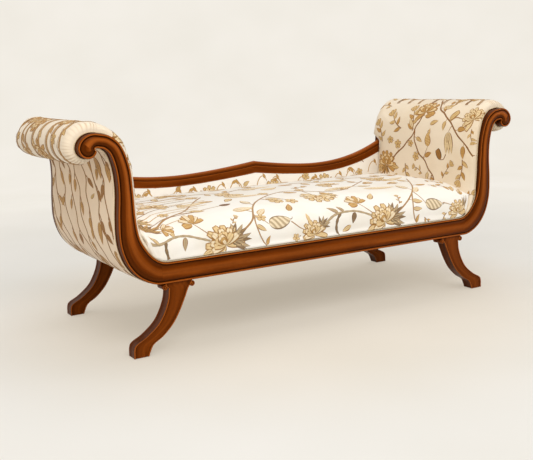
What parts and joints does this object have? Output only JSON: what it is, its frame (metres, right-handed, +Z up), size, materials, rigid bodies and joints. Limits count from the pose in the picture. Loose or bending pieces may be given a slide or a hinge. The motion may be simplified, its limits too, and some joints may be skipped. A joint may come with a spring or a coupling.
{
  "type": "recamier",
  "caption": "Low daybed sofa with two outward scrolled arms, a shaped low back rail, carved moulded frame, sabre legs and an upholstered seat",
  "frame": {"origin": "on the floor, at the middle of the footprint", "axes": "X along the seat to the right as seen from the front, Y from front to back, Z up"},
  "size_m": [2.1548, 0.77, 0.8713],
  "materials": {
    "show_wood": "reddish brown wood with a polished finish",
    "frame_wood": "plain sawn beech, unfinished",
    "cover_cloth": "ivory silk with gold and brown embroidery",
    "filling": "soft padding",
    "trim_cord": "twisted cord in pale gold",
    "steel": "plain bright steel",
    "twine": "twine",
    "hessian": "coarse hessian",
    "dust_cloth": "thin black cloth"
  },
  "bodies": {
    "root": {"front_rail": "show_wood", "back_rail": "show_wood", "front_scroll_left": "show_wood", "front_scroll_right": "show_wood", "back_scroll_left": "show_wood", "back_scroll_right": "show_wood", "crest_rail": "show_wood", "leg_front_left": "show_wood", "leg_front_right": "show_wood", "leg_back_left": "show_wood", "leg_back_right": "show_wood", "end_rail_left": "frame_wood", "end_rail_right": "frame_wood", "seat_braces": "frame_wood", "corner_blocks": "frame_wood", "back_posts": "frame_wood", "arm_slats_left": "frame_wood", "arm_slats_right": "frame_wood", "roll_rail_left": "frame_wood", "roll_rail_right": "frame_wood", "rail_dowels": "frame_wood", "seat_cover": "cover_cloth", "arm_cover_left": "cover_cloth", "arm_cover_right": "cover_cloth", "arm_outer_cover_left": "cover_cloth", "arm_outer_cover_right": "cover_cloth", "back_cover_inside": "cover_cloth", "back_cover_outside": "cover_cloth", "seat_padding": "filling", "arm_padding_left": "filling", "arm_padding_right": "filling", "back_padding": "filling", "seat_trim": "trim_cord", "arm_trim_left": "trim_cord", "arm_trim_right": "trim_cord", "leg_bolts": "steel", "seat_springs": "steel", "spring_clips": "steel", "glides": "steel", "spring_ties": "twine", "seat_lining": "hessian", "dust_cover": "dust_cloth"}
  },
  "joints": []
}
